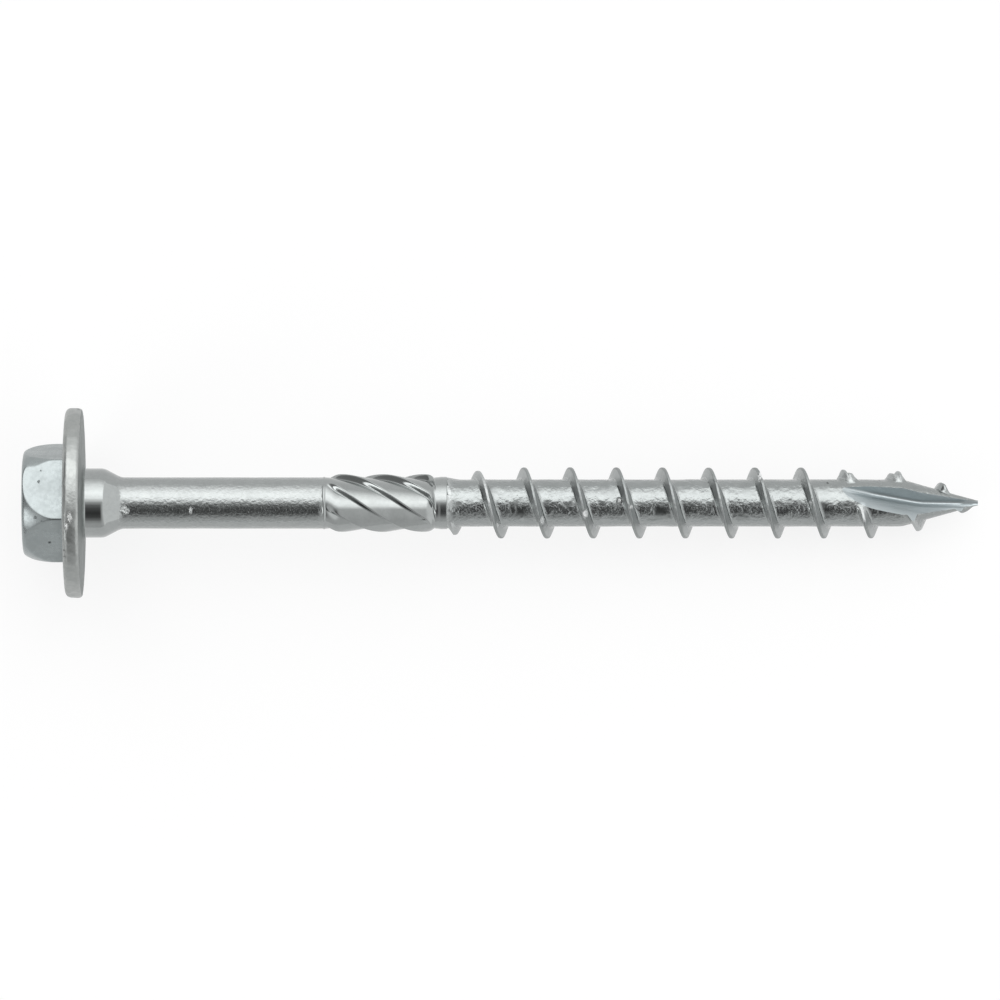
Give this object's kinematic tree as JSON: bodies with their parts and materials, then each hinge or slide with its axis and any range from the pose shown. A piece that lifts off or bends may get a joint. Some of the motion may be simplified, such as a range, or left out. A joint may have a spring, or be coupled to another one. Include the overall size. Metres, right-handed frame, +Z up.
{
  "type": "construction screw",
  "caption": "Zinc-plated wood construction screw with hexagon washer-flange head, shank cutter, coarse right-hand thread and notched point, lying on its side.",
  "frame": {"origin": "on the surface that the screw lies on, under the centre of its bounding box", "axes": "+X runs along the screw from the head towards the point, +Z is up; the screw lies on the rim of its flange and on one crest of its thread, so its axis dips 4.3 degrees towards the point"},
  "size_m": [0.1066, 0.0212, 0.0212],
  "materials": {
    "zinc_plated_steel": "satin"
  },
  "bodies": {
    "root": {"screw": "zinc_plated_steel"}
  },
  "joints": []
}
